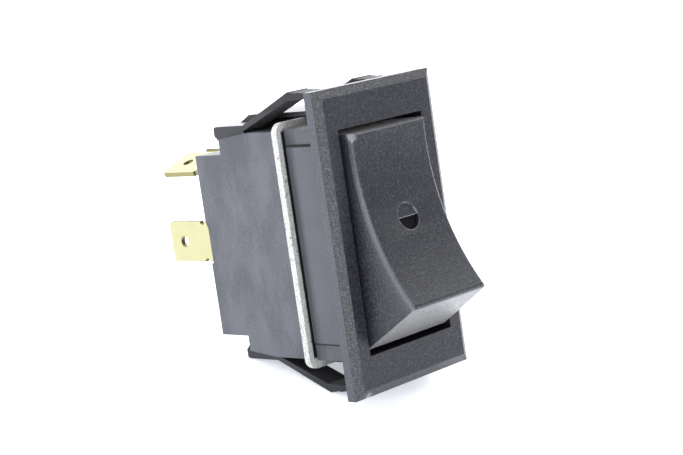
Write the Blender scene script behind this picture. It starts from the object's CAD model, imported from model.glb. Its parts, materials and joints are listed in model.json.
"""Panel rocker switch, dressed piece by piece in the order in which it goes together."""

import json
import math

import bmesh
import bpy
from mathutils import Matrix, Vector


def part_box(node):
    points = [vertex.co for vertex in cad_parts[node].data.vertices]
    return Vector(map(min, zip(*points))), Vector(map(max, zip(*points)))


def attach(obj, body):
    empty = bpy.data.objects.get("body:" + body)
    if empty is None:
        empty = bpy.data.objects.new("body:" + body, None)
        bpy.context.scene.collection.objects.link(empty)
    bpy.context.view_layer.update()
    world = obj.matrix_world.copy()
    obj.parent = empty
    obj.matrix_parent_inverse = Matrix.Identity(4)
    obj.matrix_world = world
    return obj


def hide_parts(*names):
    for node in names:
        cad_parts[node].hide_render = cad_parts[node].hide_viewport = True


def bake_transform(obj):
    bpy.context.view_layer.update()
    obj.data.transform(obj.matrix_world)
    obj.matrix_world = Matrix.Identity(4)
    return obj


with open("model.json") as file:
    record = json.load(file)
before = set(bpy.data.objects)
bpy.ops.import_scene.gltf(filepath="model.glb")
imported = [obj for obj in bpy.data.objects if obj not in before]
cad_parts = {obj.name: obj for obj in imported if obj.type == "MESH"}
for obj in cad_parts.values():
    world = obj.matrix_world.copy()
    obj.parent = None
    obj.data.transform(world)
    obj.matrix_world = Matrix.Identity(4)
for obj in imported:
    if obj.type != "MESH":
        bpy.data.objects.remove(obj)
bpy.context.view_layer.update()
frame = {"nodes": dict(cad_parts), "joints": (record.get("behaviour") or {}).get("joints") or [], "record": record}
MM = 0.001


# Bezel frame: bezel, front body, legs, straps, hooks and toothed wings in one black nylon moulding.
# The bezel's tool was spark-eroded, which leaves a coarse grain. Behind the panel the tool was
# only ground, so the body's sides come out smooth and paler. A knock marks the lower chamfer.

class Value:
    """A socket of a material. Python's operators on it add Math nodes."""

    def __init__(self, finish, socket):
        self.finish = finish
        self.socket = socket

    def math(self, operation, first, second=0.0):
        return self.finish.node("ShaderNodeMath", {"operation": operation}, {0: first, 1: second})

    def __add__(self, other):
        return self.math("ADD", self, other)

    def __radd__(self, other):
        return self.math("ADD", other, self)

    def __sub__(self, other):
        return self.math("SUBTRACT", self, other)

    def __mul__(self, other):
        return self.math("MULTIPLY", self, other)

    def __rmul__(self, other):
        return self.math("MULTIPLY", other, self)

    def __abs__(self):
        return self.math("ABSOLUTE", self)


class Finish:
    """A material and its nodes."""

    def __init__(self, name, **shader):
        self.material = bpy.data.materials.new(name)
        self.material.use_nodes = True
        self.tree = self.material.node_tree
        self.shader = self.tree.nodes["Principled BSDF"]
        self.set(**shader)

    def node(self, kind, settings=None, inputs=None, output=0):
        made = self.tree.nodes.new(kind)
        for name, value in (settings or {}).items():
            setattr(made, name, value)
        for name, value in (inputs or {}).items():
            self.join(made.inputs[name], value)
        return Value(self, made.outputs[output])

    def join(self, socket, value):
        if isinstance(value, Value):
            self.tree.links.new(value.socket, socket)
        elif isinstance(value, tuple) and len(value) == 3 and socket.type == "RGBA":
            socket.default_value = (*value, 1)
        else:
            socket.default_value = value

    def set(self, **shader):
        for name, value in shader.items():
            self.join(self.shader.inputs[name.replace("_", " ")], value)

    def place(self):
        """Object coordinates, in metres."""
        return self.node("ShaderNodeTexCoord", output="Object")

    def along(self, axis):
        return self.node("ShaderNodeSeparateXYZ", inputs={0: self.place()}, output=axis)

    def away(self, axis):
        """The distance from the middle along an axis."""
        return abs(self.along(axis))

    def vectors(self, operation, first, second=(0, 0, 0), output=0):
        return self.node("ShaderNodeVectorMath", {"operation": operation}, {0: first, 1: second}, output)

    def distance(self, point):
        return self.vectors("DISTANCE", self.place(), point, output="Value")

    def noise(self, size, detail=2.0, roughness=0.5, stretch=(1, 1, 1)):
        """Noise with lumps about size metres across, drawn out along the axes in stretch."""
        scale = tuple(1 / (size * s) for s in stretch)
        spot = self.node("ShaderNodeMapping", inputs={"Vector": self.place(), "Scale": scale})
        return self.node("ShaderNodeTexNoise", inputs={"Vector": spot, "Scale": 1.0, "Detail": detail,
                                                       "Roughness": roughness})

    def step(self, value, low, high, out_low=0.0, out_high=1.0):
        """Maps value from low..high to out_low..out_high, smoothly and without running past either."""
        return self.node("ShaderNodeMapRange", {"interpolation_type": "SMOOTHSTEP"},
                         {"Value": value, "From Min": low, "From Max": high, "To Min": out_low,
                          "To Max": out_high})

    def fade(self, value, low, high):
        """1 up to low, falling to 0 at high."""
        return self.step(value, low, high, 1.0, 0.0)

    def tint(self, factor, dark, light):
        return self.node("ShaderNodeMix", {"data_type": "RGBA"},
                         {"Factor": factor, "A": dark, "B": light}, output="Result")

    def bump(self, height, depth, under=None):
        """A normal for a height of 0 to 1 that stands for depth metres."""
        inputs = {"Height": height, "Distance": depth}
        if under:
            inputs["Normal"] = under
        return self.node("ShaderNodeBump", inputs=inputs)


def eased(node, radius, sharp=24):
    """A copy of a CAD node whose edges over sharp degrees are rounded, which stands for that node."""
    body = next(b for b, names in frame["record"]["behaviour"]["bodies"].items() if node in names)
    piece = bpy.data.objects.new(f"{node}_piece", frame["nodes"][node].data.copy())
    bpy.context.scene.collection.objects.link(piece)
    shell = bmesh.new()
    shell.from_mesh(piece.data)
    bmesh.ops.remove_doubles(shell, verts=shell.verts, dist=0.002 * MM)
    bmesh.ops.dissolve_limit(shell, angle_limit=math.radians(0.4), verts=shell.verts, edges=shell.edges)
    shell.to_mesh(piece.data)
    shell.free()
    piece.data.shade_smooth()
    piece.data.set_sharp_from_angle(angle=math.radians(sharp))
    bevel = piece.modifiers.new("Bevel", "BEVEL")
    bevel.width = radius
    bevel.segments = 3
    bevel.limit_method = "ANGLE"
    bevel.angle_limit = math.radians(sharp)
    bevel.use_clamp_overlap = True
    bevel.harden_normals = True
    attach(piece, body)
    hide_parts(node)
    return piece


def dress(piece, finish):
    piece.data.materials.clear()
    piece.data.materials.append(finish.material)


def second_finish(piece, finish, chosen):
    """Gives the faces that chosen() picks by their middle and normal a finish of their own."""
    piece.data.materials.append(finish.material)
    for face in piece.data.polygons:
        if chosen(face.center, face.normal):
            face.material_index = len(piece.data.materials) - 1


# Places on the bezel frame: along Y, and then away from the middle along Z.
chamfer_front = -2.31 * MM
chamfer_back = -1.55 * MM
pad_slope = 5.2 * MM
gasket_back = 9.1 * MM
pad_end = 14.36 * MM
body_end = 17.1 * MM
wing_start = 19 * MM


def black_nylon(name, grain_end):
    """Black nylon, grained in front of grain_end along Y, and paler and smooth behind it.

    Behind the grain the frame's slopes, creases, straps and wings are darker than its pads. A
    grain_end behind the whole piece leaves it grained and black all over.
    """
    finish = Finish(name, Specular_IOR_Level=0.45, Sheen_Weight=0.12, Sheen_Roughness=0.35)
    depth = finish.along("Y")
    height = finish.away("Z")
    pits = finish.noise(0.3 * MM, 2.0, 0.7)
    fine = finish.noise(0.07 * MM, 1.0)
    cloud = finish.noise(5 * MM, 3.0, 0.6)
    wipe = finish.noise(1.2 * MM, 2.0, 0.5, stretch=(1, 1, 6))

    grained = finish.step(depth, grain_end + 0.05 * MM, grain_end + 0.3 * MM, 1.0, 0.1)
    flat = finish.fade(depth, grain_end + chamfer_front, grain_end + chamfer_front + 0.11 * MM)
    front = finish.step(depth, grain_end + chamfer_back, grain_end + chamfer_back + 0.15 * MM, 1.0, 0.1)
    behind = finish.step(depth, grain_end + 0.1 * MM, grain_end + 0.3 * MM)
    slope = finish.step(depth, pad_slope, pad_slope + 0.3 * MM)
    straps = (behind * finish.step(height, body_end, body_end + 0.3 * MM)
              + finish.step(depth, gasket_back, gasket_back + 0.3 * MM))
    wings = behind * finish.step(height, wing_start, wing_start + 1 * MM)
    crease = behind * (finish.step(height, pad_end, pad_end + 0.08 * MM)
                       - finish.step(height, pad_end + 0.36 * MM, pad_end + 0.46 * MM))

    darker = finish.node("ShaderNodeMath", {"operation": "ADD", "use_clamp": True}, {
        0: front + 0.25 * grained + straps, 1: 1.6 * crease + 0.3 * slope})
    black = finish.tint(cloud, (0.006, 0.006, 0.009), (0.012, 0.013, 0.017))
    grey = finish.tint(cloud, (0.044, 0.047, 0.057), (0.074, 0.078, 0.094))
    crest = finish.tint(flat, (0.095, 0.1, 0.118), (0.052, 0.055, 0.069))
    speck = 0.7 * finish.step(pits, 0.44, 0.7) * grained
    finish.base = finish.tint(speck, finish.tint(darker, grey, black), crest)
    finish.polish = 0.3 + 0.14 * (cloud - 0.5) + 0.1 * (wipe - 0.5) + 0.35 * wings + 0.48 * crease
    grain = finish.bump(pits * grained, 0.08 * MM)
    finish.set(Base_Color=finish.base, Roughness=finish.polish, Normal=finish.bump(fine, 0.012 * MM, grain))
    return finish


bezel_nylon = black_nylon("Spark-eroded bezel nylon", 0.0)
from_knock = bezel_nylon.distance(Vector((-9.8, -1.2, -21.6)) * MM)
knock = bezel_nylon.fade(from_knock - 1.2 * MM * bezel_nylon.noise(0.3 * MM), 0.0, 0.4 * MM)
bezel_nylon.set(Base_Color=bezel_nylon.tint(0.6 * knock, bezel_nylon.base, (0.4, 0.42, 0.46)))

matt_nylon = Finish("Matt nylon in the wells", Specular_IOR_Level=0.15)
matt_grain = matt_nylon.noise(0.3 * MM, 2.0, 0.7)
matt_nylon.set(Base_Color=matt_nylon.tint(matt_grain, (0.003, 0.003, 0.004), (0.012, 0.012, 0.015)),
               Roughness=0.85 + 0.1 * (matt_grain - 0.5), Normal=matt_nylon.bump(matt_grain, 0.05 * MM))


def in_opening(middle, normal):
    return abs(middle.x) < 8.9 * MM and abs(middle.z) < 16.4 * MM and abs(normal.y) < 0.5


bezel = eased("bezel_frame", 0.14 * MM)
dress(bezel, bezel_nylon)
second_finish(bezel, matt_nylon, in_opening)


# Rocker: a black nylon moulding from a grained tool, with a concave finger curve and a round
# recess for a lens. Fingers have rubbed its long edges, one corner and its lower end smoother and
# paler, the recess's rim and the ledge across it catch the light, and one side has a dark mark.

recess_middle = Vector((0, -5.162, 2.329)) * MM
recess_axis = Vector((0, -0.9588, 0.284))
recess_up = Vector((0, 0.284, 0.9588))
worn_corner = Vector((-7.7, -3.9, 15.3)) * MM
dark_mark = Vector((-8.4, -3.64, -3.97)) * MM
whole_rocker = 20 * MM

rocker_nylon = black_nylon("Spark-eroded rocker nylon", whole_rocker)
across = rocker_nylon.away("X")
rubbed = rocker_nylon.step(across, 7.2 * MM, 7.75 * MM) - rocker_nylon.step(across, 7.8 * MM, 8.15 * MM)
rubbed = rubbed * rocker_nylon.step(rocker_nylon.along("Z"), 2 * MM, 14 * MM, 1.0, 0.25)
from_recess = rocker_nylon.vectors("SUBTRACT", rocker_nylon.place(), recess_middle)
off_axis = rocker_nylon.vectors("CROSS_PRODUCT", from_recess, recess_axis)
recess_r = rocker_nylon.vectors("LENGTH", off_axis, output="Value")
rim = rocker_nylon.step(recess_r, 1.95 * MM, 2.02 * MM) - rocker_nylon.step(recess_r, 2.06 * MM, 2.13 * MM)
off_ledge = abs(rocker_nylon.vectors("DOT_PRODUCT", from_recess, recess_up, output="Value"))
ledge = (rocker_nylon.fade(off_ledge, 0.05 * MM, 0.12 * MM)
         * rocker_nylon.fade(recess_r, 1.93 * MM, 1.97 * MM))
mark = rocker_nylon.fade(rocker_nylon.distance(dark_mark), 0.2 * MM, 0.45 * MM)
scuff = rocker_nylon.fade(rocker_nylon.distance(worn_corner) - 1.3 * MM * rocker_nylon.noise(0.25 * MM),
                          0.0, 0.5 * MM)
paler = 0.45 * scuff + 0.3 * rubbed + 0.6 * rim + 0.5 * ledge
marked_base = rocker_nylon.tint(0.8 * mark, rocker_nylon.base, (0.003, 0.003, 0.004))
rocker_nylon.set(Base_Color=rocker_nylon.tint(paler, marked_base, (0.3, 0.31, 0.34)),
                 Roughness=rocker_nylon.polish - 0.1 * rubbed, Sheen_Weight=0.2)
end_nylon = black_nylon("Rubbed rocker end", whole_rocker)
end_nylon.set(Specular_IOR_Level=1.0, Sheen_Weight=0.6)


def in_deep_half(middle, normal):
    across_recess = (middle - recess_middle).cross(recess_axis).length
    depth = (recess_middle - middle).dot(recess_axis)
    return across_recess < 2.06 * MM and depth > 0.3 * MM


def on_lower_end(middle, normal):
    return normal.z < -0.5 and middle.y < -2 * MM


rocker = eased("rocker", 0.09 * MM)
dress(rocker, rocker_nylon)
second_finish(rocker, matt_nylon, in_deep_half)
second_finish(rocker, end_nylon, on_lower_end)


# Gasket: a ring die-cut from pale grey pressed fibre, trapped between the front body and the
# housing. Its cut edge is soft, speckled and a little chewed. The lap inside the joint stays dark.

fibre = Finish("Pressed fibre", Specular_IOR_Level=0.3)
flecks = fibre.noise(0.16 * MM, 4.0, 0.7)
strands = fibre.noise(0.35 * MM, 3.0, 0.6, stretch=(1, 1, 3))
nicks = fibre.noise(0.7 * MM, 2.0, 0.5)
pale = fibre.tint(fibre.step(flecks, 0.3, 0.68), (0.3, 0.3, 0.29), (0.66, 0.66, 0.64))
marked = fibre.tint(fibre.step(nicks, 0.62, 0.72), pale, (0.16, 0.16, 0.16))
shaded = (fibre.fade(fibre.away("X"), 10.12 * MM, 10.24 * MM)
          * fibre.fade(fibre.away("Z"), 16.6 * MM, 17.1 * MM))
fibre.set(Base_Color=fibre.tint(shaded, marked, (0.006, 0.006, 0.007)), Roughness=0.85)
fibre.set(Normal=fibre.bump(flecks, 0.05 * MM, fibre.bump(strands + nicks, 0.12 * MM)))
dress(eased("gasket", 0.34 * MM), fibre)


# Housing: a charcoal nylon box, stepped at its rear for the hooks. Its tool was ground, so it is
# satin smooth, with faint flow marks and fine handling streaks.

housing_nylon = Finish("Satin housing nylon", Specular_IOR_Level=0.5)
flow = housing_nylon.noise(5 * MM, 3.0, 0.6, stretch=(1, 1, 2))
streaks = housing_nylon.noise(0.5 * MM, 3.0, 0.6, stretch=(1, 0.6, 14))
pores = housing_nylon.noise(0.12 * MM, 2.0)
mottle = housing_nylon.noise(0.35 * MM, 2.0, 0.6)
tone = housing_nylon.step(0.62 * flow + 0.1 * streaks + 0.28 * mottle, 0.38, 0.62)
housing_nylon.set(Base_Color=housing_nylon.tint(tone, (0.042, 0.045, 0.055), (0.082, 0.087, 0.105)),
                  Roughness=0.36 + 0.2 * (flow - 0.5) + 0.16 * (streaks - 0.5))
housing_nylon.set(Normal=housing_nylon.bump(pores, 0.012 * MM, housing_nylon.bump(streaks, 0.03 * MM)))
dress(eased("base_housing", 0.22 * MM), housing_nylon)


# Terminals, cradles and eyelets: pale cartridge brass strip, blanked and bent. The rolled faces
# are bright with faint lines along the strip, and the sheared edges are duller.

def metal(name, dark, light, roughness, lines=(1, 12, 1)):
    finish = Finish(name, Metallic=1.0)
    tarnish = finish.noise(2.5 * MM, 3.0, 0.6)
    rolled = finish.noise(0.12 * MM, 2.0, 0.6, stretch=lines)
    finish.set(Base_Color=finish.tint(tarnish, dark, light),
               Roughness=roughness + 0.16 * (rolled - 0.5) + 0.12 * (tarnish - 0.5))
    finish.set(Normal=finish.bump(rolled, 0.004 * MM))
    return finish


pale_brass = metal("Pale brass strip", (0.41, 0.385, 0.215), (0.5, 0.475, 0.285), 0.38)
edge_brass = metal("Sheared brass edge", (0.2, 0.18, 0.08), (0.32, 0.3, 0.14), 0.5, lines=(1, 1, 1))
brass = metal("Brass strip", (0.66, 0.48, 0.2), (0.78, 0.6, 0.3), 0.36)
lean = math.radians(20)
housing_rear = 26 * MM
for pole, outward in (("left", -1), ("right", 1)):
    for terminal, thickness in (("centre_terminal", Vector((1, 0, 0))),
                                ("end_terminal", Vector((outward * math.sin(lean), 0, math.cos(lean))))):
        strip = eased(f"{pole}_{terminal}", 0.05 * MM)
        dress(strip, pale_brass)
        second_finish(strip, edge_brass, lambda middle, normal: (
            middle.y > housing_rear and abs(normal.dot(thickness)) < 0.3))
    for fitting in ("cradle", "cradle_rivet"):
        dress(eased(f"{pole}_{fitting}", 0.04 * MM), brass)


# Contacts: a copper alloy blade rocks in the cradle and carries a domed silver rivet, which meets
# the silver rivet on the end terminal.

copper = metal("Copper alloy strip", (0.6, 0.32, 0.2), (0.78, 0.48, 0.32), 0.32, lines=(1, 1, 12))
silver = metal("Silver contact", (0.62, 0.61, 0.58), (0.84, 0.83, 0.8), 0.3, lines=(2, 2, 2))
for pole in ("left", "right"):
    dress(eased(f"{pole}_contact_blade", 0.05 * MM), copper)
    for rivet in ("moving_contact", "fixed_contact"):
        dress(eased(f"{pole}_{rivet}", 0.05 * MM), silver)


# Plungers: turned ivory nylon, one in each post of the rocker.

ivory = Finish("Ivory nylon", Specular_IOR_Level=0.5, Subsurface_Weight=0.15, Subsurface_Scale=0.4 * MM)
warmth = ivory.noise(1.5 * MM, 2.0)
turning = ivory.noise(0.08 * MM, 2.0, 0.5, stretch=(8, 1, 8))
ivory.set(Base_Color=ivory.tint(warmth, (0.7, 0.65, 0.5), (0.8, 0.76, 0.62)), Roughness=0.35 + 0.1 * warmth)
ivory.set(Normal=ivory.bump(turning, 0.004 * MM))
for pole in ("left", "right"):
    dress(eased(f"{pole}_plunger", 0.06 * MM), ivory)


# Plunger springs: drawn steel wire wound round each post's axis, with a closed turn at each end.
# A closed turn takes closed_share of the wire, and both together rise by closed_pitch wire radii.

closed_share = 0.12
closed_pitch = 2.1


def socket(tree, name, kind, default):
    made = tree.interface.new_socket(name, in_out="INPUT", socket_type=kind)
    made.default_value = default
    return made


def spring_tree():
    """Geometry Nodes that wind a wire along +Z from the origin, closed at both ends."""
    tree = bpy.data.node_groups.new("Wind a spring", "GeometryNodeTree")
    tree.interface.new_socket("Geometry", in_out="INPUT", socket_type="NodeSocketGeometry")
    tree.interface.new_socket("Geometry", in_out="OUTPUT", socket_type="NodeSocketGeometry")
    for name, default in (("Turns", 8.0), ("Length", 0.005), ("Radius", 0.0014), ("Wire", 0.0002)):
        socket(tree, name, "NodeSocketFloat", default)
    socket(tree, "Material", "NodeSocketMaterial", None)
    inputs = tree.nodes.new("NodeGroupInput")

    def add(kind, links=None, **settings):
        made = tree.nodes.new(kind)
        for name, value in settings.items():
            setattr(made, name, value)
        for name, value in (links or {}).items():
            if isinstance(value, bpy.types.NodeSocket):
                tree.links.new(value, made.inputs[name])
            else:
                made.inputs[name].default_value = value
        return made

    def maths(operation, first, second):
        return add("ShaderNodeMath", {0: first, 1: second}, operation=operation).outputs[0]

    line = add("GeometryNodeCurvePrimitiveLine", {"End": (0, 0, 1)})
    points = add("GeometryNodeResampleCurve", {"Curve": line.outputs[0], "Count": 180})
    share = add("GeometryNodeSplineParameter").outputs["Factor"]
    angle = maths("MULTIPLY", maths("MULTIPLY", share, inputs.outputs["Turns"]), math.tau)
    rise = add("ShaderNodeMapRange", {"Value": share, "From Min": closed_share, "From Max": 1 - closed_share},
               interpolation_type="LINEAR").outputs[0]
    end_lift = maths("MULTIPLY", maths("MULTIPLY", inputs.outputs["Wire"], closed_pitch), share)
    height = maths("ADD", maths("MULTIPLY", rise, inputs.outputs["Length"]), end_lift)
    place = add("ShaderNodeCombineXYZ", {
        "X": maths("MULTIPLY", maths("COSINE", angle, 0.0), inputs.outputs["Radius"]),
        "Y": maths("MULTIPLY", maths("SINE", angle, 0.0), inputs.outputs["Radius"]),
        "Z": height})
    wound = add("GeometryNodeSetPosition", {"Geometry": points.outputs[0], "Position": place.outputs[0]})
    round_wire = add("GeometryNodeCurvePrimitiveCircle", {"Resolution": 12, "Radius": inputs.outputs["Wire"]})
    wire = add("GeometryNodeCurveToMesh", {"Curve": wound.outputs[0], "Profile Curve": round_wire.outputs[0],
                                           "Fill Caps": True})
    smooth = add("GeometryNodeSetShadeSmooth", {"Geometry": wire.outputs[0]})
    real = add("GeometryNodeRealizeInstances", {"Geometry": smooth.outputs[0]})
    done = add("GeometryNodeSetMaterial", {"Geometry": real.outputs[0],
                                           "Material": inputs.outputs["Material"]})
    tree.links.new(done.outputs[0], add("NodeGroupOutput").inputs[0])
    return tree


def made_by(tree, name, place, **values):
    """The plain mesh that a Geometry Nodes tree makes, moved to place."""
    host = bpy.data.objects.new(f"{name}_host", bpy.data.meshes.new(f"{name}_host"))
    bpy.context.scene.collection.objects.link(host)
    modifier = host.modifiers.new("Nodes", "NODES")
    modifier.node_group = tree
    for item in tree.interface.items_tree:
        if item.in_out == "INPUT" and item.name in values:
            modifier[item.identifier] = values[item.name]
    mesh = bpy.data.meshes.new_from_object(host.evaluated_get(bpy.context.evaluated_depsgraph_get()))
    mesh.transform(place)
    bpy.data.objects.remove(host)
    piece = bpy.data.objects.new(name, mesh)
    bpy.context.scene.collection.objects.link(piece)
    return piece


wire_steel = metal("Drawn spring wire", (0.42, 0.43, 0.45), (0.62, 0.63, 0.65), 0.28, lines=(3, 3, 3))
winding = spring_tree()
wire_r = 0.2 * MM
coil_r = 1.4 * MM
for pole in ("left", "right"):
    joint = next(j for j in frame["joints"] if j["name"] == f"{pole}_plunger_slide")
    into_post = Vector(joint["axis"]).normalized()
    low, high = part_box(f"{pole}_plunger_spring")
    slant = abs(into_post.z)
    reach = ((high.y - low.y) - 2 * (coil_r + wire_r) * slant) / abs(into_post.y)
    foot = (low + high) / 2 - into_post * (reach / 2 - wire_r)
    turn = into_post.to_track_quat("Z", "Y").to_matrix().to_4x4()
    length = reach - (2 + closed_pitch) * wire_r
    spring = made_by(winding, f"{pole}_wound_spring", Matrix.Translation(foot) @ turn, Turns=7.5,
                     Length=length, Radius=coil_r, Wire=wire_r, Material=wire_steel.material)
    foot + into_post * length
    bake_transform(spring)
    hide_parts(f"{pole}_plunger_spring")


# Table: the loose switch lies on the knees of its lower wings and the end of its lower hook, so the
# pale table slopes against the switch's own frame.

knee = Vector((0, 6.75 * MM, -22.25 * MM))
rest_tilt = math.radians(15)
table_mesh = bpy.data.meshes.new("table")
table_reach = 4
corners = [(x * table_reach, y * table_reach, 0) for x, y in ((-1, -1), (1, -1), (1, 1), (-1, 1))]
table_mesh.from_pydata(corners, [], [(0, 1, 2, 3)])
table_mesh.transform(Matrix.Translation(knee) @ Matrix.Rotation(rest_tilt, 4, "X"))
table = bpy.data.objects.new("table", table_mesh)
bpy.context.scene.collection.objects.link(table)
paper = Finish("Lit white acrylic", Specular_IOR_Level=0.4, Roughness=0.35, Base_Color=(0.84, 0.85, 0.89),
               Emission_Color=(0.92, 0.95, 1.0), Emission_Strength=0.52)
dress(table, paper)


# Light: a white tent with square panels round the switch, of which the left and top ones are the
# strongest.

world = bpy.data.worlds.new("Tent")
world.use_nodes = True
world.node_tree.nodes["Background"].inputs["Color"].default_value = (0.93, 0.95, 1, 1)
world.node_tree.nodes["Background"].inputs["Strength"].default_value = 0.64
bpy.context.scene.world = world
switch_middle = Vector((0, 12 * MM, 0))
panel_distance = 0.7
for name, direction, size, power in (("left_panel", (-1, 0.1, 0.6), 0.7, 4.5),
                                     ("top_panel", (0.35, 0.15, 0.95), 0.8, 7.0),
                                     ("front_panel", (-0.35, -0.93, -0.05), 0.5, 2.8),
                                     ("right_panel", (0.7, -0.4, 0.6), 0.4, 0.6),
                                     ("back_panel", (0.55, 0.75, 0.45), 0.5, 1.2)):
    lamp = bpy.data.objects.new(name, bpy.data.lights.new(name, "AREA"))
    lamp.data.size = size
    lamp.data.energy = power
    away = Vector(direction).normalized()
    facing = away.to_track_quat("Z", "Y").to_matrix().to_4x4()
    lamp.matrix_world = Matrix.Translation(switch_middle + away * panel_distance) @ facing
    bpy.context.scene.collection.objects.link(lamp)


# Camera: a long lens, low on the switch's left front.

aim = Vector((-6.2, 2.4, 1.9)) * MM
azimuth, elevation, roll = (math.radians(a) for a in (44.77, 8.09, 8.31))
camera_distance = 0.27
lens = bpy.data.cameras.new("camera")
lens.lens = 98.8
lens.clip_start = 0.01
camera = bpy.data.objects.new("camera", lens)
camera.matrix_world = (Matrix.Translation(aim) @ Matrix.Rotation(-azimuth, 4, "Z")
                       @ Matrix.Rotation(math.radians(90) - elevation, 4, "X")
                       @ Matrix.Rotation(-roll, 4, "Z") @ Matrix.Translation((0, 0, camera_distance)))
bpy.context.scene.collection.objects.link(camera)
bpy.context.scene.camera = camera
bpy.context.scene.view_settings.view_transform = "Standard"
